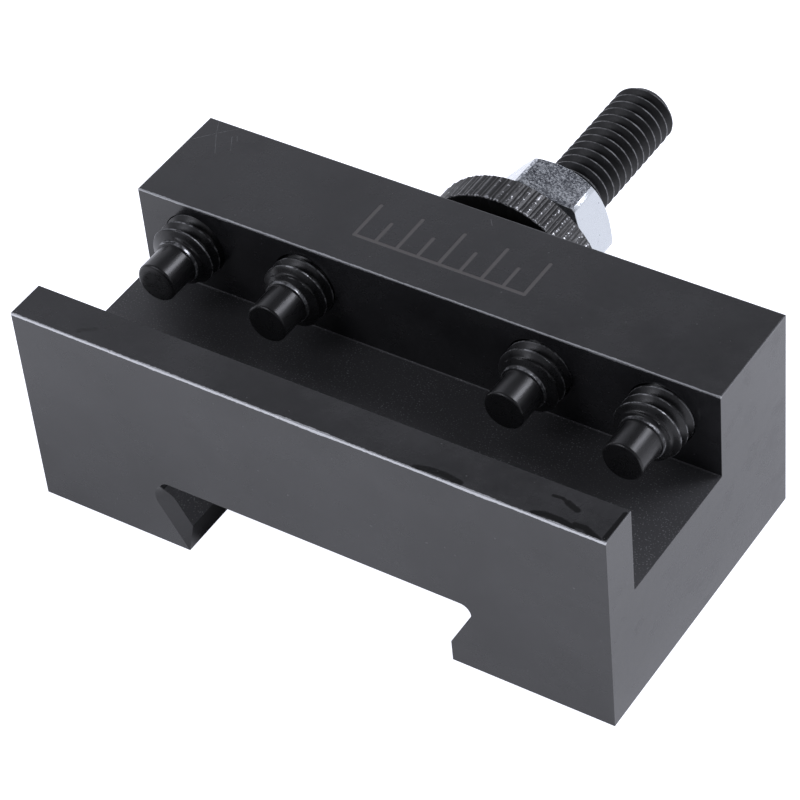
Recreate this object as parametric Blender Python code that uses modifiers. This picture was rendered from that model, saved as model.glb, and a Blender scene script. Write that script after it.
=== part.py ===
"""Quick-change turning and facing tool holder.

A steel block has a tool slot along its top and a dovetail groove across its
underside. Four full-dog set screws in the rear jaw clamp a tool against the
front lip. A stud in the jaw carries a knurled thumb wheel, which sets the
tool's height on the post, and a hex nut, which locks the wheel.

Units are metres. X runs along the tool slot, Y from the front lip to the
stud's free end, and Z up. The origin is under the middle of the whole holder,
at the level of its feet.
"""

import math

import bmesh
import bpy
from mathutils import Matrix

# ---------------------------------------------------------------- block
BLOCK_LENGTH = 0.0750
BLOCK_DEPTH = 0.0385
BLOCK_HEIGHT = 0.0275
EDGE_BREAK = 0.0003

LIP_THICKNESS = 0.00515
SLOT_WIDTH = 0.0188
SLOT_DEPTH = 0.0115

# ------------------------------------------------- dovetail groove, along Y
DOVETAIL_DEPTH = 0.00955
DOVETAIL_ANGLE = math.radians(60)
MOUTH_HALF_WIDTH = 0.0174
ROOT_HALF_WIDTH = 0.0203
ROOT_RADIUS = 0.0013
LEAD_IN_DEPTH = 0.0012
LEAD_IN_OFFSET = 0.0015
LEAD_IN_ROOT_RADIUS = 0.0022

# ----------------------------------- 5/16-18 thread, on stud and set screws
THREAD_RADIUS = 0.00395
THREAD_PITCH = 0.0014111
THREAD_DEPTH = 0.00085
BORE_RADIUS = 0.0041
THREAD_SEGMENTS = 20

# ----------------------------------------------------------- set screws
SCREW_LENGTH = 0.0222
SCREW_HEIGHT = 0.02205
DOG_RADIUS = 0.0025
DOG_LENGTH = 0.0040
DOG_CHAMFER = 0.0003
SOCKET_FLATS = 0.00397
SOCKET_DEPTH = 0.0040
# Place along the block, and how far the dog stands out of the jaw.
SET_SCREWS = {
    "set_screw_1": (-0.0303, 0.00777),
    "set_screw_2": (-0.01525, 0.00771),
    "set_screw_3": (0.01525, 0.00753),
    "set_screw_4": (0.0303, 0.00842),
}

# ------------------------------------------- stud, thumb wheel, lock nut
STUD_HEIGHT = 0.01655
STUD_OVERHANG = 0.0365
STUD_BURIED = 0.0120
STUD_END_CHAMFER = 0.0011
WHEEL_GAP = 0.00205
WHEEL_RADIUS = 0.0112
WHEEL_WIDTH = 0.0041
KNURL_TEETH = 54
KNURL_DEPTH = 0.00035
COLLAR_RADIUS = 0.0063
COLLAR_LENGTH = 0.0033
NUT_FLATS = 0.0134
NUT_THICKNESS = 0.0059
NUT_TURN = math.radians(17)
NUT_CHAMFER_ANGLE = math.radians(30)
NUT_CHAMFER_SHARE = 0.95

# --------------------------------------------------------------- shared
FACE_GAP = 0.0003
CUT_MARGIN = 0.0010
ROUND_SEGMENTS = 40
AXIS_MERGE = 0.00001

TOTAL_DEPTH = BLOCK_DEPTH + STUD_OVERHANG
FRONT_Y = -TOTAL_DEPTH / 2
REAR_Y = FRONT_Y + BLOCK_DEPTH
LIP_INNER_Y = FRONT_Y + LIP_THICKNESS
JAW_Y = LIP_INNER_Y + SLOT_WIDTH
WHEEL_Y = REAR_Y + WHEEL_GAP
NUT_Y = WHEEL_Y + WHEEL_WIDTH + COLLAR_LENGTH + FACE_GAP
SLOT_FLOOR_Z = BLOCK_HEIGHT - SLOT_DEPTH
# Turns an object's own Z towards the rear of the holder, along world Y.
POINT_REARWARD = (-math.pi / 2, 0, 0)


def clear_scene():
    for obj in list(bpy.data.objects):
        bpy.data.objects.remove(obj, do_unlink=True)


def new_collection(name):
    collection = bpy.data.collections.new(name)
    bpy.context.scene.collection.children.link(collection)
    return collection


def new_material(name, colour, roughness, metallic):
    material = bpy.data.materials.new(name)
    material.use_nodes = True
    shader = material.node_tree.nodes["Principled BSDF"]
    shader.inputs["Base Color"].default_value = (*colour, 1)
    shader.inputs["Roughness"].default_value = roughness
    shader.inputs["Metallic"].default_value = metallic
    return material


def new_object(name, bm, collection, material=None):
    """An object from a bmesh, with outward normals and smooth round sides."""
    bmesh.ops.recalc_face_normals(bm, faces=bm.faces)
    mesh = bpy.data.meshes.new(name)
    bm.to_mesh(mesh)
    bm.free()
    mesh.shade_smooth()
    mesh.set_sharp_from_angle(angle=math.radians(35))
    if material:
        mesh.materials.append(material)
    obj = bpy.data.objects.new(name, mesh)
    collection.objects.link(obj)
    return obj


def as_cutter(obj):
    obj.hide_render = True
    obj.display_type = "WIRE"
    return obj


def box(name, low, high, collection, material=None):
    """A box between two corners, with its origin at its centre."""
    size = [top - bottom for bottom, top in zip(low, high)]
    bm = bmesh.new()
    bmesh.ops.create_cube(bm, size=1, matrix=Matrix.Diagonal((*size, 1)))
    obj = new_object(name, bm, collection, material)
    obj.location = [(bottom + top) / 2 for bottom, top in zip(low, high)]
    return obj


def prism(name, radius, length, segments, collection, material=None):
    """A cylinder or regular prism that stands on its own origin, along local Z."""
    bm = bmesh.new()
    bmesh.ops.create_cone(
        bm,
        cap_ends=True,
        segments=segments,
        radius1=radius,
        radius2=radius,
        depth=length,
        matrix=Matrix.Translation((0, 0, length / 2)),
    )
    return new_object(name, bm, collection, material)


def turned(name, profile, segments, collection, material=None):
    """A solid of revolution about local Z. The profile is (radius, height), top to bottom."""
    bm = bmesh.new()
    points = [bm.verts.new((radius, 0, height)) for radius, height in profile]
    for upper, lower in zip(points, points[1:]):
        bm.edges.new((upper, lower))
    obj = new_object(name, bm, collection, material)
    screw = obj.modifiers.new("turn", "SCREW")
    screw.steps = segments
    screw.render_steps = segments
    screw.use_merge_vertices = True
    screw.merge_threshold = AXIS_MERGE
    screw.use_smooth_shade = True
    return obj


def outline_solid(name, points, length, collection):
    """A closed X-Z outline made solid along Y, from the object's origin rearward."""
    curve = bpy.data.curves.new(name, "CURVE")
    curve.dimensions = "2D"
    curve.fill_mode = "BOTH"
    curve.extrude = length / 2
    spline = curve.splines.new("POLY")
    spline.points.add(len(points) - 1)
    for point, (x, z) in zip(spline.points, points):
        point.co = (x, z, 0, 1)
    spline.use_cyclic_u = True
    guide = bpy.data.objects.new(name + "_guide", curve)
    collection.objects.link(guide)
    bpy.context.view_layer.update()
    evaluated = guide.evaluated_get(bpy.context.evaluated_depsgraph_get())
    mesh = bpy.data.meshes.new_from_object(evaluated)
    bm = bmesh.new()
    bm.from_mesh(mesh)
    bmesh.ops.remove_doubles(bm, verts=bm.verts, dist=AXIS_MERGE)
    # The curve lies in its own X-Y plane: its Y becomes Z, and its depth runs along Y.
    bm.transform(Matrix.Rotation(math.pi / 2, 4, "X"))
    bm.transform(Matrix.Translation((0, length / 2, 0)))
    bpy.data.objects.remove(guide, do_unlink=True)
    bpy.data.meshes.remove(mesh)
    return new_object(name, bm, collection)


def combine(obj, other, operation="DIFFERENCE"):
    modifier = obj.modifiers.new(other.name, "BOOLEAN")
    modifier.operation = operation
    modifier.solver = "EXACT"
    modifier.object = other


def arc(centre, radius, start, end, steps):
    """Points on an arc from one angle to another, both included."""
    angles = [start + (end - start) * step / steps for step in range(steps + 1)]
    return [
        (centre[0] + radius * math.cos(angle), centre[1] + radius * math.sin(angle))
        for angle in angles
    ]


# ------------------------------------------------------------ holder body


def groove_side():
    """One side of the dovetail groove in X-Z, from below the mouth up to the ceiling."""
    centre = (ROOT_HALF_WIDTH - ROOT_RADIUS, DOVETAIL_DEPTH - ROOT_RADIUS)
    flank_turn = DOVETAIL_ANGLE - math.pi / 2
    root = arc(centre, ROOT_RADIUS, flank_turn, math.pi / 2, 6)
    drop = (root[0][0] - MOUTH_HALF_WIDTH) * math.tan(DOVETAIL_ANGLE)
    tip = (MOUTH_HALF_WIDTH, root[0][1] - drop)
    return [(MOUTH_HALF_WIDTH, -CUT_MARGIN), tip, *root]


def lead_in_side():
    """The groove's left side at the front face, as far in as it bevels the flank."""
    ceiling = DOVETAIL_DEPTH - FACE_GAP
    flank_foot = MOUTH_HALF_WIDTH - CUT_MARGIN / math.tan(DOVETAIL_ANGLE)
    centre_z = ceiling - LEAD_IN_ROOT_RADIUS
    lean = 1 / math.sin(DOVETAIL_ANGLE)
    centre_x = MOUTH_HALF_WIDTH + centre_z / math.tan(DOVETAIL_ANGLE) - lean * LEAD_IN_ROOT_RADIUS
    flank_turn = DOVETAIL_ANGLE - math.pi / 2
    root = arc((centre_x, centre_z), LEAD_IN_ROOT_RADIUS, flank_turn, math.pi / 2, 6)
    return [(flank_foot, -CUT_MARGIN), *root]


def add_groove(body, cutters):
    side = groove_side()
    mirrored = [(-x, z) for x, z in reversed(side)]
    length = BLOCK_DEPTH + 2 * CUT_MARGIN
    groove = as_cutter(outline_solid("dovetail_cutter", side + mirrored, length, cutters))
    groove.location.y = FRONT_Y - CUT_MARGIN
    combine(body, groove)


def add_lead_in(body, cutters):
    """A bevel on the left flank's front end, where the post's dovetail enters."""
    left = [(-x, z) for x, z in reversed(lead_in_side())]
    outline = [(0, left[0][1]), *left, (0, -CUT_MARGIN)]
    length = LEAD_IN_DEPTH + CUT_MARGIN
    lead_in = as_cutter(outline_solid("lead_in_cutter", outline, length, cutters))
    slant = Matrix.Identity(4)
    slant[0][1] = LEAD_IN_OFFSET / math.sin(DOVETAIL_ANGLE) / LEAD_IN_DEPTH
    lead_in.data.transform(Matrix.Translation((0, -CUT_MARGIN, 0)))
    lead_in.data.transform(slant)
    lead_in.location.y = FRONT_Y
    combine(body, lead_in)


def add_tool_slot(body, cutters):
    low = (-BLOCK_LENGTH / 2 - CUT_MARGIN, LIP_INNER_Y, SLOT_FLOOR_Z)
    high = (BLOCK_LENGTH / 2 + CUT_MARGIN, JAW_Y, BLOCK_HEIGHT + CUT_MARGIN)
    combine(body, as_cutter(box("slot_cutter", low, high, cutters)))


def add_tapped_holes(body, cutters):
    for name, (x, _) in SET_SCREWS.items():
        length = REAR_Y - JAW_Y + 2 * CUT_MARGIN
        hole = prism(name + "_hole", BORE_RADIUS, length, ROUND_SEGMENTS, cutters)
        hole.rotation_euler = POINT_REARWARD
        hole.location = (x, JAW_Y - CUT_MARGIN, SCREW_HEIGHT)
        combine(body, as_cutter(hole))


def add_stud_hole(body, cutters):
    length = STUD_BURIED + FACE_GAP + CUT_MARGIN
    hole = prism("stud_hole", BORE_RADIUS, length, ROUND_SEGMENTS, cutters)
    hole.rotation_euler = POINT_REARWARD
    hole.location = (0, REAR_Y - STUD_BURIED - FACE_GAP, STUD_HEIGHT)
    combine(body, as_cutter(hole))


def make_holder_body(parts, cutters, material):
    low = (-BLOCK_LENGTH / 2, FRONT_Y, 0)
    high = (BLOCK_LENGTH / 2, REAR_Y, BLOCK_HEIGHT)
    body = box("holder_body", low, high, parts, material)
    bevel = body.modifiers.new("edge_break", "BEVEL")
    bevel.width = EDGE_BREAK
    bevel.segments = 1
    add_tool_slot(body, cutters)
    add_groove(body, cutters)
    add_lead_in(body, cutters)
    add_tapped_holes(body, cutters)
    add_stud_hole(body, cutters)


# --------------------------------------------------------- threaded pieces


def thread(top, bottom):
    """Thread grooves from one height down to another, as (radius, height) points."""
    turns = int((top - bottom) / THREAD_PITCH)
    points = []
    for turn in range(turns):
        crest = top - turn * THREAD_PITCH
        points.append((THREAD_RADIUS, crest))
        points.append((THREAD_RADIUS - THREAD_DEPTH, crest - THREAD_PITCH / 2))
    points.append((THREAD_RADIUS, top - turns * THREAD_PITCH))
    return points


def make_set_screw(name, x, reach, parts, cutters, material):
    """A full-dog set screw, whose own Z runs from the dog's tip to the hex socket."""
    minor = THREAD_RADIUS - THREAD_DEPTH
    shoulder = DOG_LENGTH + (minor - DOG_RADIUS)
    profile = [
        (0, SCREW_LENGTH),
        (minor, SCREW_LENGTH),
        *thread(SCREW_LENGTH - THREAD_DEPTH, shoulder + THREAD_DEPTH),
        (minor, shoulder),
        (DOG_RADIUS, DOG_LENGTH),
        (DOG_RADIUS, DOG_CHAMFER),
        (DOG_RADIUS - DOG_CHAMFER, 0),
        (0, 0),
    ]
    place = (x, JAW_Y - reach, SCREW_HEIGHT)
    screw = turned(name, profile, THREAD_SEGMENTS, parts, material)
    screw.rotation_euler = POINT_REARWARD
    screw.location = place
    corner_radius = SOCKET_FLATS / 2 / math.cos(math.pi / 6)
    socket = prism(name + "_socket", corner_radius, SOCKET_DEPTH + CUT_MARGIN, 6, cutters)
    socket.rotation_euler = POINT_REARWARD
    socket.location = (x, place[1] + SCREW_LENGTH - SOCKET_DEPTH, SCREW_HEIGHT)
    combine(screw, as_cutter(socket))


def make_height_stud(parts, material):
    """A threaded stud, whose own Z runs from inside the jaw to its free end."""
    length = STUD_BURIED + STUD_OVERHANG
    end_radius = THREAD_RADIUS - STUD_END_CHAMFER
    profile = [
        (0, length),
        (end_radius, length),
        *thread(length - STUD_END_CHAMFER, THREAD_DEPTH),
        (THREAD_RADIUS - THREAD_DEPTH, 0),
        (0, 0),
    ]
    stud = turned("height_stud", profile, THREAD_SEGMENTS, parts, material)
    stud.rotation_euler = POINT_REARWARD
    stud.location = (0, REAR_Y - STUD_BURIED, STUD_HEIGHT)


def bore_on_stud(name, length, cutters):
    """A cutter for the hole through a piece that runs on the stud."""
    bore = prism(name, BORE_RADIUS, length + 2 * CUT_MARGIN, ROUND_SEGMENTS, cutters)
    bore.rotation_euler = POINT_REARWARD
    return as_cutter(bore)


def knurled_disc(name, parts, material):
    """The thumb wheel's rim: a cylinder whose every other edge is pulled in."""
    bm = bmesh.new()
    bmesh.ops.create_cone(
        bm,
        cap_ends=True,
        segments=2 * KNURL_TEETH,
        radius1=WHEEL_RADIUS,
        radius2=WHEEL_RADIUS,
        depth=WHEEL_WIDTH,
        matrix=Matrix.Translation((0, 0, WHEEL_WIDTH / 2)),
    )
    step = math.pi / KNURL_TEETH
    valley = 1 - KNURL_DEPTH / WHEEL_RADIUS
    for vertex in bm.verts:
        if round(math.atan2(vertex.co.y, vertex.co.x) / step) % 2:
            vertex.co.x *= valley
            vertex.co.y *= valley
    return new_object(name, bm, parts, material)


def make_thumb_wheel(parts, cutters, material):
    place = (0, WHEEL_Y, STUD_HEIGHT)
    wheel = knurled_disc("thumb_wheel", parts, material)
    wheel.rotation_euler = POINT_REARWARD
    wheel.location = place
    total = WHEEL_WIDTH + COLLAR_LENGTH
    collar = as_cutter(prism("wheel_collar", COLLAR_RADIUS, total - CUT_MARGIN, ROUND_SEGMENTS, cutters))
    collar.rotation_euler = POINT_REARWARD
    collar.location = (0, WHEEL_Y + CUT_MARGIN, STUD_HEIGHT)
    combine(wheel, collar, "UNION")
    bore = bore_on_stud("wheel_bore", total, cutters)
    bore.location = (0, WHEEL_Y - CUT_MARGIN, STUD_HEIGHT)
    combine(wheel, bore)


def make_lock_nut(parts, cutters, material):
    """A hex nut: a hexagonal prism kept inside a chamfered round blank."""
    place = (0, NUT_Y, STUD_HEIGHT)
    corner_radius = NUT_FLATS / 2 / math.cos(math.pi / 6)
    nut = prism("lock_nut", corner_radius, NUT_THICKNESS, 6, parts, material)
    nut.rotation_euler = (POINT_REARWARD[0], -NUT_TURN, 0)
    nut.location = place
    face_radius = NUT_FLATS / 2 * NUT_CHAMFER_SHARE
    blank_radius = corner_radius + CUT_MARGIN
    fall = (blank_radius - face_radius) * math.tan(NUT_CHAMFER_ANGLE)
    profile = [
        (0, NUT_THICKNESS),
        (face_radius, NUT_THICKNESS),
        (blank_radius, NUT_THICKNESS - fall),
        (blank_radius, fall),
        (face_radius, 0),
        (0, 0),
    ]
    blank = as_cutter(turned("nut_blank", profile, ROUND_SEGMENTS, cutters))
    blank.rotation_euler = POINT_REARWARD
    blank.location = place
    combine(nut, blank, "INTERSECT")
    bore = bore_on_stud("nut_bore", NUT_THICKNESS, cutters)
    bore.location = (0, NUT_Y - CUT_MARGIN, STUD_HEIGHT)
    combine(nut, bore)


def main():
    clear_scene()
    parts = new_collection("quick_change_tool_holder")
    cutters = new_collection("cutters")
    block_steel = new_material("black_oxide_block", (0.045, 0.047, 0.050), 0.42, 0.85)
    screw_steel = new_material("black_oxide_screw", (0.020, 0.020, 0.022), 0.28, 0.85)
    wheel_steel = new_material("black_oxide_wheel", (0.028, 0.028, 0.030), 0.35, 0.85)
    zinc = new_material("zinc_plate", (0.62, 0.66, 0.70), 0.25, 1.0)
    make_holder_body(parts, cutters, block_steel)
    for name, (x, reach) in SET_SCREWS.items():
        make_set_screw(name, x, reach, parts, cutters, screw_steel)
    make_height_stud(parts, screw_steel)
    make_thumb_wheel(parts, cutters, wheel_steel)
    make_lock_nut(parts, cutters, zinc)


main()
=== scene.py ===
"""The looks of a quick-change tool holder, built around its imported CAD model.

Units are metres. X runs along the tool slot, Y from the front lip to the
stud's free end, and Z up. Every piece keeps its origin at the world's origin
and its place in its mesh, so object coordinates are the frame's coordinates.
"""

import math

import bmesh
import bpy
from mathutils import Matrix, Vector, noise


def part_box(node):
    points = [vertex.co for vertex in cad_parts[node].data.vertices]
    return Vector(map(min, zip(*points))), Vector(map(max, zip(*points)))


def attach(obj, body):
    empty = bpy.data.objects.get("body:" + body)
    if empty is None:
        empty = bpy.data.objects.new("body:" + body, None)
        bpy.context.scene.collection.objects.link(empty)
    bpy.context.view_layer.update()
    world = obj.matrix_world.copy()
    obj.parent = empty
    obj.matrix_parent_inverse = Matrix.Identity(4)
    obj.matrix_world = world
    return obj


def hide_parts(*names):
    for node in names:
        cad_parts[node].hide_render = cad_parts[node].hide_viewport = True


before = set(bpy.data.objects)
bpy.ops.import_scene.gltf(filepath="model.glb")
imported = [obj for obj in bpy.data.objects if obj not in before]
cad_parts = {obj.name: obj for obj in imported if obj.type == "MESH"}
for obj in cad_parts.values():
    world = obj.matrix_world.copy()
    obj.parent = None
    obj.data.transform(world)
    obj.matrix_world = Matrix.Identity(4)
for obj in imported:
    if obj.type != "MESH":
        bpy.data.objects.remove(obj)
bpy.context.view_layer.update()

TAU = 2 * math.pi
MM = 0.001

# ------------------------------------------------ places taken from the frame


def axis_of(low, high):
    """Where the axis of a round piece along Y stands, as (x, z)."""
    return ((low.x + high.x) / 2, (low.z + high.z) / 2)


BLOCK_LOW, BLOCK_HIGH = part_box("holder_body")
STUD_LOW, STUD_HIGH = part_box("height_stud")
WHEEL_LOW, WHEEL_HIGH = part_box("thumb_wheel")
NUT_LOW, NUT_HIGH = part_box("lock_nut")
# How far behind its tip each screw's first full crest passes over the top.
SCREWS = {
    "set_screw_1": 5.20 * MM,
    "set_screw_2": 4.39 * MM,
    "set_screw_3": 4.59 * MM,
    "set_screw_4": 5.39 * MM,
}
STUD_AXIS = axis_of(STUD_LOW, STUD_HIGH)
WHEEL_RADIUS = (WHEEL_HIGH.x - WHEEL_LOW.x) / 2

# --------------------------------------------- sizes that a box doesn't give
LIP_THICKNESS = 5.15 * MM
SLOT_WIDTH = 18.8 * MM
SLOT_DEPTH = 11.5 * MM
SLOT_FILLET = 0.2 * MM
EDGE_ROUND = 0.22 * MM
LIP_EDGE_ROUND = 0.36 * MM
JAW_EDGE_ROUND = 0.28 * MM
INNER_EDGE_ROUND = 0.12 * MM
DOVETAIL_DEPTH = 9.55 * MM
DOVETAIL_ANGLE = math.radians(60)
MOUTH_HALF_WIDTH = 17.4 * MM
ROOT_HALF_WIDTH = 20.3 * MM
ROOT_RADIUS = 1.3 * MM
LEAD_IN_DEPTH = 1.2 * MM
LEAD_IN_OFFSET = 1.5 * MM
LEAD_IN_ROOT_RADIUS = 2.2 * MM
CUT_MARGIN = 1.0 * MM

THREAD_RADIUS = 3.95 * MM
THREAD_PITCH = 1.4111 * MM
THREAD_DEPTH = 0.85 * MM
CREST_BAND = 0.10 * MM
FINE_STEP = 0.06 * MM
BORE_RADIUS = 4.02 * MM
COUNTERSINK = 0.30 * MM
NEAR_BREAK = 0.06 * MM
SCREW_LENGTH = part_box("set_screw_1")[1].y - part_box("set_screw_1")[0].y
DOG_RADIUS = 2.5 * MM
DOG_LENGTH = 4.0 * MM
SCREW_COLLAR_RADIUS = 2.75 * MM
SCREW_COLLAR_WIDTH = 0.35 * MM
SCREW_COLLAR_FLARE = 2.0
FINE_LENGTH = 1.4 * MM
SOCKET_FLATS = 3.97 * MM
SOCKET_DEPTH = 4.0 * MM
STUD_LAST_CREST = 1.6 * MM

WHEEL_WIDTH = 4.1 * MM
KNURL_TEETH = 54
KNURL_DEPTH = 0.17 * MM
KNURL_PITS = 0.045 * MM
PIT_SIZE = 0.34 * MM
# A tooth and a ridge, as shares of the knurl's depth and of the space between teeth.
TOOTH_HEIGHT = 0.94
TOOTH_WIDTH = 0.62
RIDGE_HEIGHT = 0.42
RIDGE_WIDTH = 0.26
COLLAR_RADIUS = 6.3 * MM
NUT_FLATS = 13.4 * MM
NUT_TURN = math.radians(47)
NUT_CORNER = 0.15 * MM
NUT_CHAMFER = math.radians(39)
NUT_NEAR_CHAMFER = math.radians(16)

LIP_INNER_Y = BLOCK_LOW.y + LIP_THICKNESS
JAW_Y = LIP_INNER_Y + SLOT_WIDTH
SLOT_FLOOR_Z = BLOCK_HIGH.z - SLOT_DEPTH
WELD = 0.002 * MM
SHADED_SHARP = math.radians(38)
ROUNDED_SHARP = math.radians(26)


# ================================================================ mesh helpers


def new_piece(name, bm, material):
    """An object from a bmesh, with outward normals and its sharp edges marked."""
    bmesh.ops.remove_doubles(bm, verts=bm.verts, dist=WELD)
    bmesh.ops.recalc_face_normals(bm, faces=bm.faces)
    mesh = bpy.data.meshes.new(name)
    bm.to_mesh(mesh)
    bm.free()
    mesh.shade_smooth()
    mesh.set_sharp_from_angle(angle=SHADED_SHARP)
    if material:
        mesh.materials.append(material)
    piece = bpy.data.objects.new(name, mesh)
    bpy.context.scene.collection.objects.link(piece)
    return piece


def lathe(bm, centre, column, angles):
    """A closed surface round an axis along Y: column(angle) gives (radius, y) points."""
    x, z = centre
    rings = []
    for angle in angles:
        turn_x, turn_z = math.cos(angle), math.sin(angle)
        points = [(x + r * turn_x, y, z + r * turn_z) for r, y in column(angle)]
        rings.append([bm.verts.new(point) for point in points])
    for ring, following in zip(rings, rings[1:]):
        for k in range(len(ring) - 1):
            bm.faces.new((ring[k], ring[k + 1], following[k + 1], following[k]))


def even_angles(count):
    """Angles of a whole turn, with both its ends."""
    return [TAU * k / count for k in range(count + 1)]


def arc(centre, radius, start, end, steps):
    """Points on an arc from one angle to another, both included."""
    angles = [start + (end - start) * step / steps for step in range(steps + 1)]
    return [
        (centre[0] + radius * math.cos(a), centre[1] + radius * math.sin(a)) for a in angles
    ]


def extruded(name, outline, place, near, far, shear=0.0):
    """A solid whose outline is set by place(u, v, depth), from depth near to depth far."""
    bm = bmesh.new()
    caps = []
    for depth in (near, far):
        slide = shear * (depth - near)
        caps.append([bm.verts.new(place(u + slide, v, depth)) for u, v in outline])
    count = len(outline)
    for k in range(count):
        following = (k + 1) % count
        bm.faces.new((caps[0][k], caps[0][following], caps[1][following], caps[1][k]))
    bm.faces.new(caps[0])
    bm.faces.new(caps[1])
    return new_piece(name, bm, None)


def apply_modifiers(piece):
    """Turns the piece's modifiers into its mesh."""
    bpy.context.view_layer.update()
    evaluated = piece.evaluated_get(bpy.context.evaluated_depsgraph_get())
    old_mesh = piece.data
    new_mesh = bpy.data.meshes.new_from_object(evaluated)
    piece.modifiers.clear()
    piece.data = new_mesh
    new_mesh.name = piece.name
    bpy.data.meshes.remove(old_mesh)


def cut(piece, cutter):
    """Cuts one solid with another, which is used up."""
    modifier = piece.modifiers.new("cut", "BOOLEAN")
    modifier.operation = "DIFFERENCE"
    modifier.solver = "EXACT"
    modifier.object = cutter
    apply_modifiers(piece)
    bpy.data.meshes.remove(cutter.data)


def even_shading(piece):
    """Lets a piece's large faces shade flat, so that only its small rounds catch light."""
    weighted = piece.modifiers.new("even_shading", "WEIGHTED_NORMAL")
    weighted.keep_sharp = True
    weighted.weight = 100


def hexagon(flats, angle, corner_at, rounding):
    """Radius of a hexagon with slightly rounded corners at an angle."""
    off = (angle - corner_at + math.pi / 6) % (math.pi / 3) - math.pi / 6
    from_flat = math.pi / 6 - abs(off)
    straight = flats / 2 / math.cos(from_flat)
    corner = flats / 2 / math.cos(math.pi / 6) - rounding
    return min(straight, corner)


# ============================================================= threaded pieces

# One turn of the thread: how far along the pitch, and what share of the depth is cut.
THREAD_FORM = [
    (-0.50, 1.0),
    (-0.44, 0.99),
    (-0.36, 0.88),
    (-0.12, 0.12),
    (-0.06, 0.01),
    (0.00, 0.0),
    (0.06, 0.01),
    (0.12, 0.12),
    (0.36, 0.88),
    (0.44, 0.99),
    (0.50, 1.0),
]


def thread_radius(y, crest_y):
    """Radius of the thread at y when one of its crests is at crest_y."""
    along = ((y - crest_y) / THREAD_PITCH + 0.5) % 1 - 0.5
    for (start, cut), (end, next_cut) in zip(THREAD_FORM, THREAD_FORM[1:]):
        if along <= end:
            share = (along - start) / (end - start)
            return THREAD_RADIUS - THREAD_DEPTH * (cut + share * (next_cut - cut))
    return THREAD_RADIUS - THREAD_DEPTH


def thread_column(start, end, limit, angle, top_crest, fine_end=None):
    """A right-hand thread at one angle, kept inside limit(y).

    The crest that passes over the top does so at top_crest. Up to fine_end the
    points are close together and level, and from there they follow the helix.
    """
    crest = top_crest - (angle - math.pi / 2) / TAU * THREAD_PITCH
    fine_end = fine_end or start
    fine = round((fine_end - start) / FINE_STEP)
    heights = [start + (fine_end - start) * k / fine for k in range(fine)]
    first = math.floor((start - top_crest) / THREAD_PITCH) - 1
    last = math.ceil((end - top_crest) / THREAD_PITCH) + 2
    for turn in range(first, last):
        for along, _ in THREAD_FORM[1:]:
            heights.append(crest + (turn + along) * THREAD_PITCH)
    points = []
    for k, height in enumerate(heights):
        y = height if k < fine else min(max(height, fine_end), end)
        points.append((min(thread_radius(y, crest), limit(y)), y))
    return points


def set_screw_column(tip_y, top_crest):
    """A full-dog set screw: dog, collar and thread, with a hex socket at the back."""
    back_y = tip_y + SCREW_LENGTH
    shoulder_y = tip_y + DOG_LENGTH
    minor = THREAD_RADIUS - THREAD_DEPTH
    start_y = shoulder_y + 0.08 * MM
    end_radius = minor - 0.02 * MM
    socket_mouth = 2.5 * MM

    def limit(y):
        past_collar = max(0.0, y - start_y - SCREW_COLLAR_WIDTH)
        front = SCREW_COLLAR_RADIUS + past_collar * SCREW_COLLAR_FLARE
        back = end_radius + (back_y - y)
        return min(THREAD_RADIUS, front, back)

    def column(angle):
        socket = hexagon(SOCKET_FLATS, angle, 0.0, 0.02 * MM)
        return [
            (0, tip_y + 0.10 * MM),
            (DOG_RADIUS * 0.55, tip_y + 0.05 * MM),
            (DOG_RADIUS - 0.34 * MM, tip_y),
            (DOG_RADIUS - 0.22 * MM, tip_y + 0.03 * MM),
            (DOG_RADIUS - 0.06 * MM, tip_y + 0.16 * MM),
            (DOG_RADIUS, tip_y + 0.30 * MM),
            (DOG_RADIUS, shoulder_y - 0.15 * MM),
            (DOG_RADIUS + 0.03 * MM, shoulder_y - 0.03 * MM),
            *thread_column(start_y, back_y, limit, angle, top_crest, start_y + FINE_LENGTH),
            (end_radius, back_y),
            (socket_mouth, back_y),
            (min(socket_mouth, socket + 0.10 * MM), back_y - 0.12 * MM),
            (socket, back_y - 0.35 * MM),
            (socket, back_y - SOCKET_DEPTH),
            (0, back_y - SOCKET_DEPTH - 0.9 * MM),
        ]

    return column


def make_set_screw(name, crest_from_tip, material):
    low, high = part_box(name)
    bm = bmesh.new()
    column = set_screw_column(low.y, low.y + crest_from_tip)
    lathe(bm, axis_of(low, high), column, even_angles(72))
    return new_piece(name + "_detailed", bm, material)


def make_stud(material):
    """The long stud: threaded from end to end, with a rounded free end."""
    minor = THREAD_RADIUS - THREAD_DEPTH
    end_radius = minor - 0.05 * MM
    start, end = STUD_LOW.y, STUD_HIGH.y
    dome = 0.30 * MM

    def limit(y):
        front = end_radius + (y - start)
        back = end_radius + (end - dome - y) * 0.95
        return min(THREAD_RADIUS, front, back)

    def column(angle):
        return [
            (0, start),
            (end_radius, start),
            *thread_column(start, end - dome, limit, angle, end - STUD_LAST_CREST),
            (end_radius, end - dome),
            (end_radius * 0.86, end - 0.12 * MM),
            (end_radius * 0.55, end - 0.03 * MM),
            (0, end),
        ]

    bm = bmesh.new()
    lathe(bm, STUD_AXIS, column, even_angles(96))
    return new_piece("height_stud_detailed", bm, material)


# ======================================================= thumb wheel, lock nut


def knurl_height(angle):
    """How high the knurl stands, from 0 in a valley to a tooth's blunt crest.

    A low ridge lies between each two teeth.
    """
    off = abs((angle * KNURL_TEETH / TAU) % 1 - 0.5) * 2
    tooth = 1 - off / TOOTH_WIDTH
    ridge = RIDGE_HEIGHT * (1 - (1 - off) / RIDGE_WIDTH)
    return min(TOOTH_HEIGHT, max(0.0, tooth, ridge))


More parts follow.
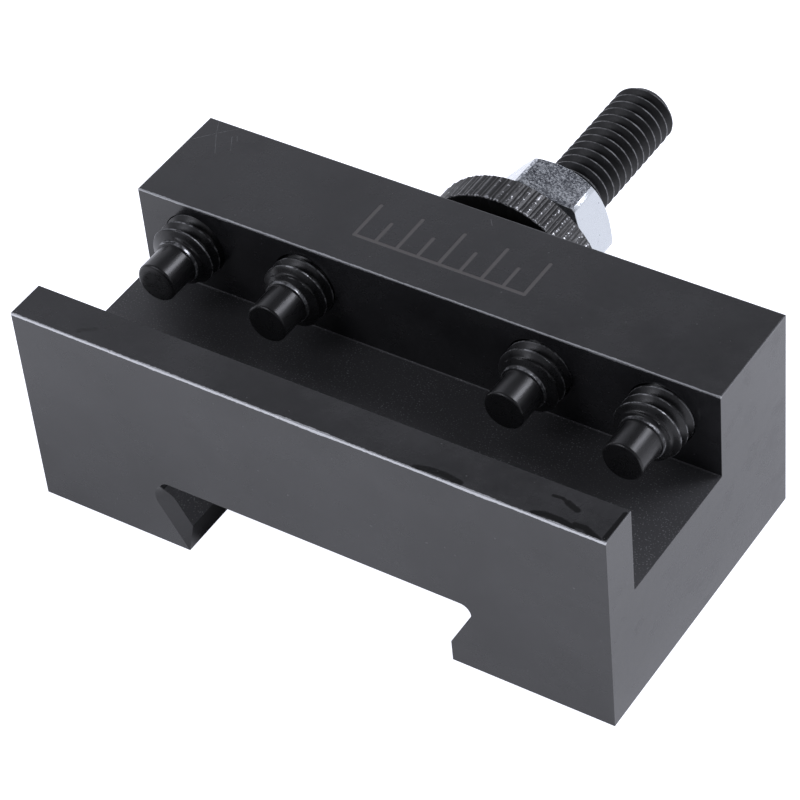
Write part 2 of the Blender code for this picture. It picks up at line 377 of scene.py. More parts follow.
def make_thumb_wheel(material):
    """Knurled rim with bevelled faces, and the collar that the nut jams against."""
    near, far = WHEEL_LOW.y, WHEEL_LOW.y + WHEEL_WIDTH
    end = WHEEL_HIGH.y
    bevel = 0.30 * MM
    root = WHEEL_RADIUS - KNURL_DEPTH
    rim_steps = 14

    def pitted(radius, y, angle):
        """The rim's radius, lowered by small irregular pits."""
        place = Vector((math.cos(angle) * radius, y, math.sin(angle) * radius)) / PIT_SIZE
        depth = max(0.0, noise.noise(place) + 0.5 * noise.noise(place * 2.3))
        return radius - KNURL_PITS * depth

    def column(angle):
        radius = root + KNURL_DEPTH * knurl_height(angle) - 0.01 * MM
        shoulder = root - 0.10 * MM
        inset = (radius - shoulder) * 0.7
        start, stop = near + inset, far - inset
        rim = [start + (stop - start) * k / rim_steps for k in range(rim_steps + 1)]
        return [
            (BORE_RADIUS, near + COUNTERSINK),
            (BORE_RADIUS + COUNTERSINK, near),
            (shoulder, near),
            *[(pitted(radius, y, angle), y) for y in rim],
            (shoulder, far),
            (COLLAR_RADIUS + 0.35 * MM, far),
            (COLLAR_RADIUS + 0.08 * MM, far + 0.08 * MM),
            (COLLAR_RADIUS, far + 0.35 * MM),
            (COLLAR_RADIUS, end - bevel),
            (COLLAR_RADIUS - bevel, end),
            (BORE_RADIUS + COUNTERSINK, end),
            (BORE_RADIUS, end - COUNTERSINK),
            (BORE_RADIUS, near + COUNTERSINK),
        ]

    bm = bmesh.new()
    lathe(bm, STUD_AXIS, column, even_angles(KNURL_TEETH * 12))
    return new_piece("thumb_wheel_detailed", bm, material)


def make_lock_nut(material):
    """A hex nut with rounded corners, turned down at its far end and barely at its near one."""
    near, far = NUT_LOW.y, NUT_HIGH.y
    near_radius = NUT_FLATS / 2 * 0.99
    far_radius = NUT_FLATS / 2 * 0.95
    mouth = BORE_RADIUS + 0.45 * MM
    soft = 0.05 * MM

    def column(angle):
        radius = hexagon(NUT_FLATS, angle, NUT_TURN, NUT_CORNER)
        near_fall = max(0.0, radius - near_radius) * math.tan(NUT_NEAR_CHAMFER)
        far_fall = max(0.0, radius - far_radius) * math.tan(NUT_CHAMFER)
        return [
            (BORE_RADIUS, near + 0.45 * MM),
            (mouth, near),
            (near_radius - soft, near),
            (near_radius, near + soft / 2),
            (radius - soft, near + near_fall + soft / 2),
            (radius, near + near_fall + 2 * soft),
            (radius, far - far_fall - 2 * soft),
            (radius - soft, far - far_fall - soft / 2),
            (far_radius, far - soft / 2),
            (far_radius - soft, far),
            (mouth, far),
            (BORE_RADIUS, far - 0.45 * MM),
            (BORE_RADIUS, near + 0.45 * MM),
        ]

    half = [0, 0.7, 1.3, 1.9, 2.5, 3.5, 5, 8, 12, 17, 23]
    offsets = [*half, 30, *[60 - offset for offset in reversed(half[1:])]]
    angles = [
        NUT_TURN + math.radians(60 * side + offset) for side in range(6) for offset in offsets
    ]
    bm = bmesh.new()
    lathe(bm, STUD_AXIS, column, [*angles, angles[0] + TAU])
    return new_piece("lock_nut_detailed", bm, material)


# ================================================================= holder body


def along_x(u, v, depth):
    return (depth, u, v)


def along_y(u, v, depth):
    return (u, depth, v)


def slot_cutter():
    """The tool slot's Y-Z outline, with small fillets along the floor."""
    top = BLOCK_HIGH.z + CUT_MARGIN
    front = (LIP_INNER_Y + SLOT_FILLET, SLOT_FLOOR_Z + SLOT_FILLET)
    rear = (JAW_Y - SLOT_FILLET, SLOT_FLOOR_Z + SLOT_FILLET)
    outline = [
        (LIP_INNER_Y, top),
        *arc(front, SLOT_FILLET, math.pi, 1.5 * math.pi, 5),
        *arc(rear, SLOT_FILLET, 1.5 * math.pi, TAU, 5),
        (JAW_Y, top),
    ]
    return extruded(
        "slot", outline, along_x, BLOCK_LOW.x - CUT_MARGIN, BLOCK_HIGH.x + CUT_MARGIN
    )


def groove_cutter():
    """The dovetail groove's X-Z outline, as wide at its root as the CAD's."""
    centre = (ROOT_HALF_WIDTH - ROOT_RADIUS, DOVETAIL_DEPTH - ROOT_RADIUS)
    root = arc(centre, ROOT_RADIUS, DOVETAIL_ANGLE - math.pi / 2, math.pi / 2, 10)
    drop = (root[0][0] - MOUTH_HALF_WIDTH) * math.tan(DOVETAIL_ANGLE)
    side = [(MOUTH_HALF_WIDTH, -CUT_MARGIN), (MOUTH_HALF_WIDTH, root[0][1] - drop), *root]
    mirrored = [(-u, v) for u, v in reversed(side)]
    near, far = BLOCK_LOW.y - CUT_MARGIN, BLOCK_HIGH.y + CUT_MARGIN
    return extruded("groove", side + mirrored, along_y, near, far)


def lead_in_cutter():
    """The bevel on the left flank's front end."""
    ceiling = DOVETAIL_DEPTH - 0.3 * MM
    centre_v = ceiling - LEAD_IN_ROOT_RADIUS
    reach = LEAD_IN_ROOT_RADIUS / math.sin(DOVETAIL_ANGLE)
    centre_u = MOUTH_HALF_WIDTH + centre_v / math.tan(DOVETAIL_ANGLE) - reach
    flank = DOVETAIL_ANGLE - math.pi / 2
    root = arc((centre_u, centre_v), LEAD_IN_ROOT_RADIUS, flank, math.pi / 2, 10)
    foot = MOUTH_HALF_WIDTH - CUT_MARGIN / math.tan(DOVETAIL_ANGLE)
    left = [(-u, v) for u, v in reversed([(foot, -CUT_MARGIN), *root])]
    slope = LEAD_IN_OFFSET / math.sin(DOVETAIL_ANGLE) / LEAD_IN_DEPTH
    shifted = [(u - slope * CUT_MARGIN, v) for u, v in left]
    outline = [(0, ceiling), *shifted, (0, -CUT_MARGIN)]
    near, far = BLOCK_LOW.y - CUT_MARGIN, BLOCK_LOW.y + LEAD_IN_DEPTH
    return extruded("lead_in", outline, along_y, near, far, slope)


def hole_cutter(centre, near, far, open_near):
    """A bore along Y, countersunk at the back and nearly sharp at the front."""
    wide = BORE_RADIUS + COUNTERSINK
    column = [
        (0, far + CUT_MARGIN),
        (wide + CUT_MARGIN, far + CUT_MARGIN),
        (wide, far),
        (BORE_RADIUS, far - COUNTERSINK),
    ]
    if open_near:
        column += [
            (BORE_RADIUS, near + NEAR_BREAK),
            (BORE_RADIUS + NEAR_BREAK, near),
            (BORE_RADIUS + NEAR_BREAK + CUT_MARGIN, near - CUT_MARGIN),
            (0, near - CUT_MARGIN),
        ]
    else:
        column += [(BORE_RADIUS, near), (0, near - BORE_RADIUS / 2)]
    bm = bmesh.new()
    lathe(bm, centre, lambda angle: column, even_angles(64))
    return new_piece("hole", bm, None)


def edge_radius(edge):
    """How far an edge of the block is rounded: most on the lip, least beside the slot."""
    middle = (edge.verts[0].co + edge.verts[1].co) / 2
    along_block = abs(edge.verts[0].co.x - edge.verts[1].co.x) > CUT_MARGIN
    if not along_block or BLOCK_HIGH.z - middle.z > WELD:
        return EDGE_ROUND
    if middle.y - BLOCK_LOW.y < WELD:
        return LIP_EDGE_ROUND
    if abs(middle.y - LIP_INNER_Y) < WELD:
        return INNER_EDGE_ROUND
    if abs(middle.y - JAW_Y) < WELD:
        return JAW_EDGE_ROUND
    return EDGE_ROUND


def round_edges(piece):
    """Rounds every edge in which two machined faces meet."""
    bm = bmesh.new()
    bm.from_mesh(piece.data)
    bmesh.ops.remove_doubles(bm, verts=bm.verts, dist=WELD)
    bmesh.ops.dissolve_limit(
        bm, angle_limit=math.radians(0.5), verts=bm.verts, edges=bm.edges
    )
    weights = bm.edges.layers.float.new("bevel_weight_edge")
    for edge in bm.edges:
        if edge.is_manifold and edge.calc_face_angle() > ROUNDED_SHARP:
            edge[weights] = edge_radius(edge) / LIP_EDGE_ROUND
    bm.to_mesh(piece.data)
    bm.free()
    bevel = piece.modifiers.new("round", "BEVEL")
    bevel.limit_method = "WEIGHT"
    bevel.width = LIP_EDGE_ROUND
    bevel.segments = 4
    apply_modifiers(piece)


def make_holder_body(materials):
    bm = bmesh.new()
    size = BLOCK_HIGH - BLOCK_LOW
    middle = (BLOCK_HIGH + BLOCK_LOW) / 2
    bmesh.ops.create_cube(
        bm, size=1, matrix=Matrix.Translation(middle) @ Matrix.Diagonal((*size, 1))
    )
    body = new_piece("holder_body_detailed", bm, None)
    cut(body, slot_cutter())
    cut(body, groove_cutter())
    cut(body, lead_in_cutter())
    round_edges(body)
    for name in SCREWS:
        axis = axis_of(*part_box(name))
        cut(body, hole_cutter(axis, JAW_Y, BLOCK_HIGH.y, True))
    cut(body, hole_cutter(STUD_AXIS, STUD_LOW.y, BLOCK_HIGH.y, False))
    mesh = body.data
    mesh.materials.clear()
    for material in materials:
        mesh.materials.append(material)
    for polygon in mesh.polygons:
        polygon.use_smooth = True
        inside = LIP_INNER_Y - EDGE_ROUND < polygon.center.y < JAW_Y + EDGE_ROUND
        low = polygon.center.z < SLOT_FLOOR_Z + SLOT_FILLET
        polygon.material_index = int(inside and low and polygon.normal.z > 0.3)
    mesh.set_sharp_from_angle(angle=SHADED_SHARP)
    return body


# =================================================================== materials


class Nodes:
    """Short calls that build one material's node tree."""

    def __init__(self, name):
        self.material = bpy.data.materials.new(name)
        self.material.use_nodes = True
        self.tree = self.material.node_tree
        self.shader = self.tree.nodes["Principled BSDF"]
        self.place = self.tree.nodes.new("ShaderNodeTexCoord").outputs["Object"]

    def add(self, kind, inputs, output=0, **settings):
        node = self.tree.nodes.new("ShaderNode" + kind)
        for key, value in settings.items():
            setattr(node, key, value)
        for key, value in inputs.items():
            if isinstance(value, bpy.types.NodeSocket):
                self.tree.links.new(value, node.inputs[key])
            else:
                node.inputs[key].default_value = value
        return node.outputs[output]

    def math(self, operation, first, second=0.0, third=0.0):
        inputs = {0: first, 1: second, 2: third}
        return self.add("Math", inputs, operation=operation)

    def components(self, vector):
        """The x, y and z of a vector."""
        node = self.tree.nodes.new("ShaderNodeSeparateXYZ")
        self.tree.links.new(vector, node.inputs[0])
        return tuple(node.outputs)

    def stretched(self, x, y, z):
        """Object coordinates multiplied along each axis."""
        inputs = {0: self.place, 1: (x, y, z)}
        return self.add("VectorMath", inputs, operation="MULTIPLY")

    def noise(self, size_mm, detail=3.0, rough=0.55, vector=None):
        inputs = {
            "Vector": vector or self.place,
            "Scale": 1000.0 / size_mm,
            "Detail": detail,
            "Roughness": rough,
        }
        return self.add("TexNoise", inputs)

    def ramp(self, value, low, high, to_low=0.0, to_high=1.0):
        inputs = {
            "Value": value,
            "From Min": low,
            "From Max": high,
            "To Min": to_low,
            "To Max": to_high,
        }
        return self.add("MapRange", inputs, interpolation_type="SMOOTHSTEP", clamp=True)

    def mix(self, factor, first, second):
        """Mixes two colours."""
        node = self.tree.nodes.new("ShaderNodeMix")
        node.data_type = "RGBA"
        self.tree.links.new(factor, node.inputs[0])
        for socket, value in ((node.inputs[6], first), (node.inputs[7], second)):
            if isinstance(value, bpy.types.NodeSocket):
                self.tree.links.new(value, socket)
            else:
                socket.default_value = (*value, 1)
        return node.outputs[2]

    def blend(self, factor, first, second):
        """Mixes two numbers."""
        node = self.tree.nodes.new("ShaderNodeMix")
        self.tree.links.new(factor, node.inputs[0])
        for socket, value in ((node.inputs[2], first), (node.inputs[3], second)):
            if isinstance(value, bpy.types.NodeSocket):
                self.tree.links.new(value, socket)
            else:
                socket.default_value = value
        return node.outputs[0]

    def attribute(self, name):
        node = self.tree.nodes.new("ShaderNodeAttribute")
        node.attribute_name = name
        return node.outputs["Fac"]

    def bump(self, height, strength, distance_mm, normal=None):
        inputs = {"Height": height, "Strength": strength, "Distance": distance_mm * MM}
        if normal:
            inputs["Normal"] = normal
        return self.add("Bump", inputs)

    def near_edge(self, width_mm, ragged, **planes):
        """1 near the line where planes such as y=..., z=... meet, with a ragged border."""
        places = dict(zip("xyz", self.components(self.place)))
        squares = []
        for axis, value in planes.items():
            off = self.math("SUBTRACT", places[axis], value)
            squares.append(self.math("MULTIPLY", off, off))
        distance = self.math("SQRT", self.math("ADD", *squares))
        edge = self.math("MULTIPLY_ADD", ragged, -width_mm * MM, distance)
        return self.ramp(edge, 0.0, width_mm * MM * 0.35, 1.0, 0.0)

    def stroke(self, start, end, width_mm):
        """1 on a straight stroke between two points in millimetres, 0 off it.

        A point's reach is how far along the stroke its nearest point lies, from 0 to 1.
        """
        start = Vector(start) * MM
        along = Vector(end) * MM - start
        offset = self.add("VectorMath", {0: self.place, 1: start}, operation="SUBTRACT")
        step = along / along.length_squared
        reach = self.add("VectorMath", {0: offset, 1: step}, 1, operation="DOT_PRODUCT")
        reach = self.add("Math", {0: reach, 1: 0.0}, operation="ADD", use_clamp=True)
        nearest = self.add("VectorMath", {0: along, 3: reach}, operation="SCALE")
        gap = self.add("VectorMath", {0: offset, 1: nearest}, 1, operation="DISTANCE")
        return self.ramp(gap, width_mm * MM * 0.35, width_mm * MM * 0.65, 1.0, 0.0)

    def path(self, points, z_mm, width_mm):
        """A stroke along a line of (x, y) points in millimetres on a level plane."""
        places = [(x, y, z_mm) for x, y in points]
        strokes = [self.stroke(a, b, width_mm) for a, b in zip(places, places[1:])]
        return maximum(self, strokes)

    def set(self, **inputs):
        names = {
            "colour": "Base Color",
            "metal": "Metallic",
            "rough": "Roughness",
            "normal": "Normal",
        }
        for key, value in inputs.items():
            socket = self.shader.inputs[names.get(key, key)]
            if isinstance(value, bpy.types.NodeSocket):
                self.tree.links.new(value, socket)
            elif isinstance(value, tuple):
                socket.default_value = (*value, 1)
            else:
                socket.default_value = value


def maximum(nodes, values):
    result = values[0]
    for value in values[1:]:
        result = nodes.math("MAXIMUM", result, value)
    return result


OXIDE = (0.0125, 0.0125, 0.0135)
OXIDE_PALE = (0.023, 0.023, 0.0245)
OIL = (0.003, 0.003, 0.003)
ETCHED = (0.105, 0.098, 0.095)
BARE_STEEL = (0.72, 0.73, 0.75)
OXIDE_IOR = 1.42

# Marks on the block's top, in millimetres, as (x, y) points. A smear has its width first.
JAW_SCRATCHES = [
    [(-36.3, 1.0), (-35.1, -1.3), (-33.2, -4.3)],
    [(-37.1, -3.2), (-35.2, -1.1), (-33.2, 0.9)],
    [(-33.2, -0.8), (-31.9, -3.0)],
    [(-32.7, -0.5), (-32.2, -1.2)],
    [(1.2, 0.2), (1.9, -0.7)],
]
LIP_SMEARS = [
    (0.55, [(-29.0, -36.4), (-28.4, -35.8), (-27.5, -35.3)]),
    (0.40, [(29.5, -34.1), (30.5, -34.0), (31.3, -34.3)]),
    (0.70, [(31.3, -34.3), (32.1, -34.6), (32.7, -34.8)]),
    (0.75, [(14.8, -37.2), (16.3, -36.8), (18.1, -36.7), (20.1, -37.0)]),
    (0.75, [(28.9, -37.2), (30.0, -36.8), (31.8, -36.8), (33.4, -37.1)]),
    (0.75, [(33.5, -36.7), (34.6, -36.6), (36.5, -37.4)]),
    (0.55, [(37.1, -36.9), (37.2, -33.0)]),
]
SCRATCH_WIDTH = 0.07
INDEX_LINE_Y = -9.0
INDEX_STEP = 2.75
INDEX_TICKS = 9
INDEX_LONG = 5.6
INDEX_SHORT = 3.4
INDEX_WIDTH = 0.42


def scratch_marks(n):
    """Hairline scratches on the jaw's top, stronger in some places than in others."""
    lines = [n.path(points, BLOCK_HIGH.z / MM, SCRATCH_WIDTH) for points in JAW_SCRATCHES]
    strength = n.ramp(n.noise(0.9, 2, 0.5), 0.35, 0.6, 0.35, 1.0)
    return n.math("MULTIPLY", maximum(n, lines), strength)


def smear_marks(n):
    """Dark oil smears on the lip's top."""
    top = BLOCK_HIGH.z / MM
    return maximum(n, [n.path(points, top, width) for width, points in LIP_SMEARS])


def index_marks(n):
    """A plain etched index scale: a base line with long and short ticks."""
    top = BLOCK_HIGH.z / MM
    reach = INDEX_STEP * (INDEX_TICKS - 1) / 2
    lines = [[(-reach, INDEX_LINE_Y), (reach, INDEX_LINE_Y)]]
    for tick in range(INDEX_TICKS):
        x = INDEX_STEP * tick - reach
        length = INDEX_SHORT if tick % 2 else INDEX_LONG
        lines.append([(x, INDEX_LINE_Y), (x, INDEX_LINE_Y + length)])
    return maximum(n, [n.path(line, top, INDEX_WIDTH) for line in lines])


def edge_wear(n, ragged):
    """Bare metal along the lip's and the jaw's long edges, and a trace on the others."""
    top, front, rear = BLOCK_HIGH.z, BLOCK_LOW.y, BLOCK_HIGH.y
    lip = n.near_edge(0.22, ragged, y=front, z=top - 0.12 * MM)
    jaw = n.near_edge(0.18, ragged, y=JAW_Y, z=top)
    others = [
        n.near_edge(0.12, ragged, y=rear, z=top),
        n.near_edge(0.12, ragged, x=BLOCK_HIGH.x, z=top),
        n.near_edge(0.12, ragged, x=BLOCK_LOW.x, z=top),
    ]
    return maximum(
        n,
        [
            n.math("MULTIPLY", lip, 0.66),
            n.math("MULTIPLY", jaw, 0.50),
            n.math("MULTIPLY", maximum(n, others), 0.10),
        ],
    )


def block_material():
    """Ground and blackened steel, worn bright along its long edges."""
    n = Nodes("black_oxide_block")
    cloud = n.ramp(n.noise(13, 4, 0.6), 0.32, 0.68)
    haze = n.ramp(n.noise(4.5, 3, 0.6, n.stretched(1, 1, 1.6)), 0.45, 0.75)
    grain = n.noise(0.35, 2, 0.5)
    fine = n.noise(0.11, 2, 0.6)
    mottle = n.ramp(n.noise(0.9, 3, 0.65), 0.35, 0.65, -0.12, 0.12)
    coarse = n.ramp(n.noise(7, 2, 0.5), 0.35, 0.65, 0.70, 1.15)
    ragged = n.math("MULTIPLY", coarse, n.ramp(n.noise(0.5, 4, 0.65), 0.30, 0.70, 0.70, 1.15))
    speck = n.ramp(n.noise(0.40, 0, 0.4), 0.845, 0.87)
    scratches = scratch_marks(n)
    smears = smear_marks(n)
    etched = index_marks(n)
    worn = maximum(
        n,
        [
            edge_wear(n, ragged),
            n.math("MULTIPLY", speck, 0.08),
            n.math("MULTIPLY", scratches, 0.12),
        ],
    )
    base = n.mix(n.math("ADD", cloud, mottle), OXIDE, OXIDE_PALE)
    base = n.mix(n.math("MULTIPLY", etched, 0.9), base, ETCHED)
    base = n.mix(smears, base, OIL)
    rough = n.math("MULTIPLY_ADD", mottle, 0.10, n.ramp(cloud, 0.0, 1.0, 0.20, 0.26))
    rough = n.blend(haze, rough, 0.31)
    rough = n.blend(etched, rough, 0.55)
    rough = n.blend(smears, rough, 0.06)
    grooves = n.math("MULTIPLY", n.math("ADD", etched, scratches), -1.0)
    ground = n.bump(fine, 0.14, 0.02, n.bump(grain, 0.14, 0.03))
    n.set(
        colour=n.mix(worn, base, BARE_STEEL),
        metal=worn,
        rough=n.blend(worn, rough, 0.30),
        normal=n.bump(grooves, 0.2, 0.03, ground),
    )
    return n.material


def slot_floor_material():
    """The milled slot floor: rougher than the rest, with a fine sparkle painted into its colour as
    pale specks.
    """
    n = Nodes("black_oxide_slot_floor")
    grain = n.noise(0.22, 2, 0.6)
    speck = n.ramp(n.noise(0.18, 0, 0.5), 0.64, 0.80)
    patch = n.ramp(n.noise(6, 3, 0.6), 0.35, 0.7, 0.3, 1.0)
    # Pale specks mixed into the colour: a painted sparkle.
    painted_sparkle = n.math("MULTIPLY", speck, patch)
    n.set(
        colour=n.mix(n.math("MULTIPLY", painted_sparkle, 0.32), (0.066, 0.066, 0.069), BARE_STEEL),
        rough=n.ramp(grain, 0.3, 0.7, 0.42, 0.55),
        normal=n.bump(grain, 0.45, 0.03),
    )
    return n.material


def screw_material():
    """Glossy black screw steel, rubbed bright on its thread crests and its collar."""
    n = Nodes("black_oxide_screw")
    streak = n.noise(1.0, 3, 0.6, n.stretched(1, 0.15, 1))
    grain = n.noise(0.15, 2, 0.6)
    patch = n.ramp(n.noise(1.1, 3, 0.65), 0.43, 0.62, 0.10, 1.0)
    crest = n.math("MULTIPLY", n.ramp(n.attribute("crest"), 0.55, 1.0), patch)
    worn = n.math("MULTIPLY", crest, 0.50)
    base = n.mix(streak, (0.008, 0.008, 0.008), (0.015, 0.015, 0.016))
    n.set(
        colour=n.mix(worn, base, BARE_STEEL),
        metal=worn,
        rough=n.ramp(streak, 0.3, 0.7, 0.24, 0.34),
        normal=n.bump(grain, 0.20, 0.02),
    )
    n.shader.inputs["IOR"].default_value = OXIDE_IOR
    return n.material


def stud_material():
    """The stud's duller black, with thin pale lines on its crests."""
    n = Nodes("black_oxide_stud")
    grain = n.noise(0.18, 3, 0.65)
    patch = n.ramp(n.noise(0.8, 3, 0.7), 0.38, 0.62, 0.12, 1.0)
    crest = n.math("MULTIPLY", n.ramp(n.attribute("crest"), 0.55, 1.0), patch)
    worn = n.math("MULTIPLY", crest, 0.19)
    n.set(
        colour=n.mix(worn, n.mix(grain, (0.006, 0.006, 0.006), (0.012, 0.012, 0.013)), BARE_STEEL),
        metal=worn,
        rough=n.ramp(grain, 0.3, 0.7, 0.38, 0.52),
        normal=n.bump(grain, 0.25, 0.03),
    )
    n.shader.inputs["IOR"].default_value = OXIDE_IOR
    return n.material


def wheel_material():
    """Blackened knurl, rubbed bright in small spots on its teeth and round its near edge.
    The spots crowd toward the right side as a painted glint, and the colour darkens
    into the valleys as painted shade.
    """
    n = Nodes("black_oxide_knurl")
    grain = n.noise(0.25, 3, 0.65)
    pits = n.noise(0.5, 3, 0.6)
    x, y, _ = n.components(n.place)
    # More rubbed spots toward the right side: real wear plus a painted glint where the light
    # falls.
    side = n.ramp(x, -3 * MM, 5 * MM, 0.03, -0.07)
    rub_spots_and_side_glint = n.ramp(n.math("SUBTRACT", n.noise(0.32, 2, 0.7), side), 0.62, 0.70)
    near_edge = n.ramp(y, WHEEL_LOW.y + 0.16 * MM, WHEEL_LOW.y + 0.34 * MM, 1.0, 0.0)
    edge_spots = n.ramp(n.noise(0.45, 3, 0.7), 0.42, 0.62)
    edge_rub = n.math("MULTIPLY", n.math("MULTIPLY", near_edge, edge_spots), 0.7)
    on_tooth = n.ramp(n.attribute("crest"), 0.1, 0.8)
    on_rim = n.ramp(n.attribute("crest"), 0.0, 0.25)
    worn = n.math(
        "MAXIMUM", n.math("MULTIPLY", on_tooth, rub_spots_and_side_glint), n.math("MULTIPLY", on_rim, edge_rub)
    )
    # The colour darkens from the teeth's crests down into the valleys: painted shade in the
    # grooves.
    tooth = n.ramp(n.attribute("crest"), 0.0, 1.0)
    base = n.mix(tooth, (0.004, 0.004, 0.004), (0.040, 0.040, 0.042))
    n.set(
        colour=n.mix(worn, base, BARE_STEEL),
        metal=worn,
        rough=n.ramp(pits, 0.3, 0.7, 0.30, 0.44),
        normal=n.bump(grain, 0.35, 0.05),
    )
    return n.material


def zinc_material():
    """Bright zinc plate with a faint blue cast. Faces turned up take a dark and pale crystal
    mottle instead: partly grain, partly painted shade for the dim light they reflect.
    """
    n = Nodes("zinc_plate")
    normal = n.add("TexCoord", {}, "Normal")
    # Faces turned up get another colour than the sides: painted shade with a crystal mottle.
    painted_top_facet = n.ramp(n.components(normal)[2], 0.80, 0.96)
    grain = n.noise(0.26, 4, 0.8)
    blotch = n.ramp(n.noise(1.8, 3, 0.6), 0.35, 0.65)
    spot = n.ramp(n.noise(0.5, 2, 0.5), 0.70, 0.76)
    level = n.math("MULTIPLY_ADD", blotch, 0.05, grain)
    crystal_mottle_and_top_shade = n.mix(n.ramp(level, 0.42, 0.68), (0.10, 0.11, 0.13), (0.84, 0.87, 0.90))
    plain = n.mix(n.math("MULTIPLY", spot, 0.5), (0.52, 0.545, 0.565), (0.10, 0.11, 0.13))
    n.set(
        colour=n.mix(painted_top_facet, plain, crystal_mottle_and_top_shade),
        metal=1.0,
        rough=n.blend(blotch, 0.20, 0.30),
        normal=n.bump(grain, 0.5, 0.04),
    )
    return n.material


def mark_crests(piece, depth, *radii):
    """Stores how close each point is to one of the radii that wear shows on; on the knurl it also
    sets where the painted valley shade lifts.
    """
    low, high = Vector(piece.bound_box[0]), Vector(piece.bound_box[6])
    x, z = axis_of(low, high)
    layer = piece.data.attributes.new("crest", "FLOAT", "POINT")
    for vertex, item in zip(piece.data.vertices, layer.data):
        reach = math.hypot(vertex.co.x - x, vertex.co.z - z)
        item.value = max(0.0, *[1 - abs(reach - radius) / depth for radius in radii])


# ============================================================ camera and lights

# The view from in front and above, to the right, with the camera leaning a little.
CAMERA_PLACE = Vector((0.15996, -0.23380, 0.26305))
CAMERA_FORWARD = Vector((-0.43796, 0.58921, -0.67899))
CAMERA_ROLL = math.radians(-6.11)
CAMERA_LENS = 148.9

COOL_WHITE = (0.955, 0.970, 1.070, 1)
# For each softbox: the direction it shines from, its size, and its power in watts.
SOFTBOXES = {
    "key": ((-0.44, -0.72, 0.54), (0.40, 0.26), 1.1),
    "streak": ((0.466, 0.589, 0.660), (0.30, 0.26), 1.9),
}
SOFTBOX_DISTANCE = 0.8

# The world's light, and how high or how far back a direction points where it changes.
WALL_LIGHT = 0.80
CEILING_LIGHT = 0.20
CEILING_START = 0.610
CEILING_END = 0.705
FRONT_LIGHT = 0.45
FRONT_START = 0.25
FRONT_END = -0.25

# The floor's light: seen by the camera, elsewhere, past the right end, and at the block's foot;
# its dimming near the block is a painted shadow.
FLOOR_WHITE = 1.10
FLOOR_GLOW = 0.98
FLOOR_RIGHT = 0.85
FLOOR_DIM = 0.80
FLOOR_DIM_LEFT = 0.62
FLOOR_FADE = 22 * MM
FLOOR_STEP = 4 * MM
FLOOR_UNDER = 3 * MM
FLOOR_REACH = 3.0
FLOOR_GAP = 0.02 * MM


def add_camera():
    data = bpy.data.cameras.new("camera")
    data.sensor_width = 36
    data.lens = CAMERA_LENS
    data.clip_start = 0.01
    camera = bpy.data.objects.new("camera", data)
    turn = CAMERA_FORWARD.to_track_quat("-Z", "Y").to_matrix().to_4x4()
    camera.matrix_world = (
        Matrix.Translation(CAMERA_PLACE) @ turn @ Matrix.Rotation(CAMERA_ROLL, 4, "Z")
    )
    bpy.context.scene.collection.objects.link(camera)
    bpy.context.scene.camera = camera


def add_softbox(name, direction, size, power):
    """A rectangular area light that faces the block from a direction."""
    data = bpy.data.lights.new(name, "AREA")
    data.shape = "RECTANGLE"
    data.size, data.size_y = size
    data.energy = power
    data.color = COOL_WHITE[:3]
    light = bpy.data.objects.new(name, data)
    direction = Vector(direction).normalized()
    middle = (BLOCK_LOW + BLOCK_HIGH) / 2
    light.location = middle + direction * SOFTBOX_DISTANCE
    light.rotation_euler = (-direction).to_track_quat("-Z", "Y").to_euler()
    bpy.context.scene.collection.objects.link(light)


def add_floor():
    """A pale floor that lights the block's sides.

    The camera sees it white all over. In reflections its light is dimmer round the
    block's foot, and dark under the block: a painted shadow.
    """
    bm = bmesh.new()
    bmesh.ops.create_grid(bm, x_segments=1, y_segments=1, size=FLOOR_REACH)
    n = Nodes("pale_floor")
    middle = (BLOCK_LOW + BLOCK_HIGH) / 2
    half = (BLOCK_HIGH - BLOCK_LOW) / 2
    x, y, _ = n.components(n.place)
    outside = []
    for axis, value in enumerate((x, y)):
        off = n.math("ABSOLUTE", n.math("SUBTRACT", value, middle[axis]))
        outside.append(n.math("SUBTRACT", off, half[axis]))
    distance = maximum(n, outside)
    # The floor's light dims round the block's foot, toward its left end, past its right end and
    # under it: a painted shadow that shows only in reflections.
    dim = n.ramp(x, BLOCK_LOW.x, BLOCK_LOW.x + FLOOR_FADE, FLOOR_DIM_LEFT, FLOOR_DIM)
    beside = n.ramp(distance, 0.0, FLOOR_FADE, dim, 1.0)
    sideways = n.ramp(x, BLOCK_HIGH.x, BLOCK_HIGH.x + FLOOR_STEP, FLOOR_GLOW, FLOOR_RIGHT)
    uncovered = n.ramp(distance, -FLOOR_UNDER, 0.0)
    glow_with_painted_shadow = n.math("MULTIPLY", n.math("MULTIPLY", beside, uncovered), sideways)
    n.set(colour=(0.62, 0.62, 0.62), rough=0.9)
    n.shader.inputs["Emission Color"].default_value = COOL_WHITE
    seen = n.add("LightPath", {}, "Is Camera Ray")
    n.tree.links.new(n.blend(seen, glow_with_painted_shadow, FLOOR_WHITE), n.shader.inputs["Emission Strength"])
    floor = new_piece("floor", bm, n.material)
    floor.location.z = BLOCK_LOW.z - FLOOR_GAP


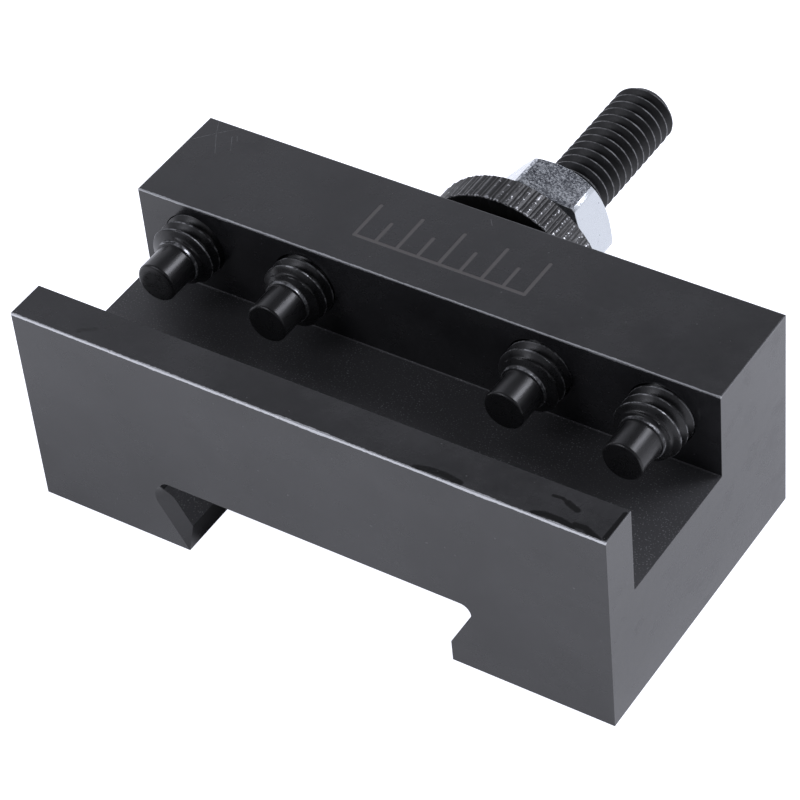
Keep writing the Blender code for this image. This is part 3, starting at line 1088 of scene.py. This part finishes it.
def fade(tree, value, start, end, at_start, at_end):
    """A smooth step from one level to another."""
    node = tree.nodes.new("ShaderNodeMapRange")
    node.interpolation_type = "SMOOTHSTEP"
    node.inputs["From Min"].default_value = start
    node.inputs["From Max"].default_value = end
    node.inputs["To Min"].default_value = at_start
    node.inputs["To Max"].default_value = at_end
    tree.links.new(value, node.inputs["Value"])
    return node.outputs[0]


def add_world():
    """Pale walls low down behind the block, and a dimmer ceiling and front."""
    world = bpy.data.worlds.new("studio")
    world.use_nodes = True
    tree = world.node_tree
    background = tree.nodes["Background"]
    direction = tree.nodes.new("ShaderNodeTexCoord")
    separate = tree.nodes.new("ShaderNodeSeparateXYZ")
    tree.links.new(direction.outputs["Generated"], separate.inputs[0])
    up, back = separate.outputs[2], separate.outputs[1]
    low_light = WALL_LIGHT + CEILING_LIGHT
    height = fade(tree, up, CEILING_START, CEILING_END, low_light, CEILING_LIGHT)
    behind = fade(tree, back, FRONT_END, FRONT_START, FRONT_LIGHT, 1)
    walls = tree.nodes.new("ShaderNodeMath")
    walls.operation = "MULTIPLY"
    tree.links.new(height, walls.inputs[0])
    tree.links.new(behind, walls.inputs[1])
    tree.links.new(walls.outputs[0], background.inputs["Strength"])
    background.inputs["Color"].default_value = COOL_WHITE
    bpy.context.scene.world = world


def set_stage():
    bpy.context.scene.view_settings.view_transform = "Standard"
    add_camera()
    add_world()
    add_floor()
    for name, (direction, size, power) in SOFTBOXES.items():
        add_softbox(name, direction, size, power)


# ==================================================================== assembly


def fit(piece, node, body):
    even_shading(piece)
    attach(piece, body)
    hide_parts(node)


def main():
    set_stage()
    body = make_holder_body([block_material(), slot_floor_material()])
    fit(body, "holder_body", "holder")
    screw_steel = screw_material()
    for name, crest_from_tip in SCREWS.items():
        screw = make_set_screw(name, crest_from_tip, screw_steel)
        mark_crests(screw, CREST_BAND, THREAD_RADIUS, SCREW_COLLAR_RADIUS)
        fit(screw, name, name)
    stud = make_stud(stud_material())
    mark_crests(stud, CREST_BAND, THREAD_RADIUS)
    fit(stud, "height_stud", "holder")
    wheel = make_thumb_wheel(wheel_material())
    mark_crests(wheel, KNURL_DEPTH, WHEEL_RADIUS)
    fit(wheel, "thumb_wheel", "thumb_wheel")
    nut = make_lock_nut(zinc_material())
    fit(nut, "lock_nut", "lock_nut")


main()
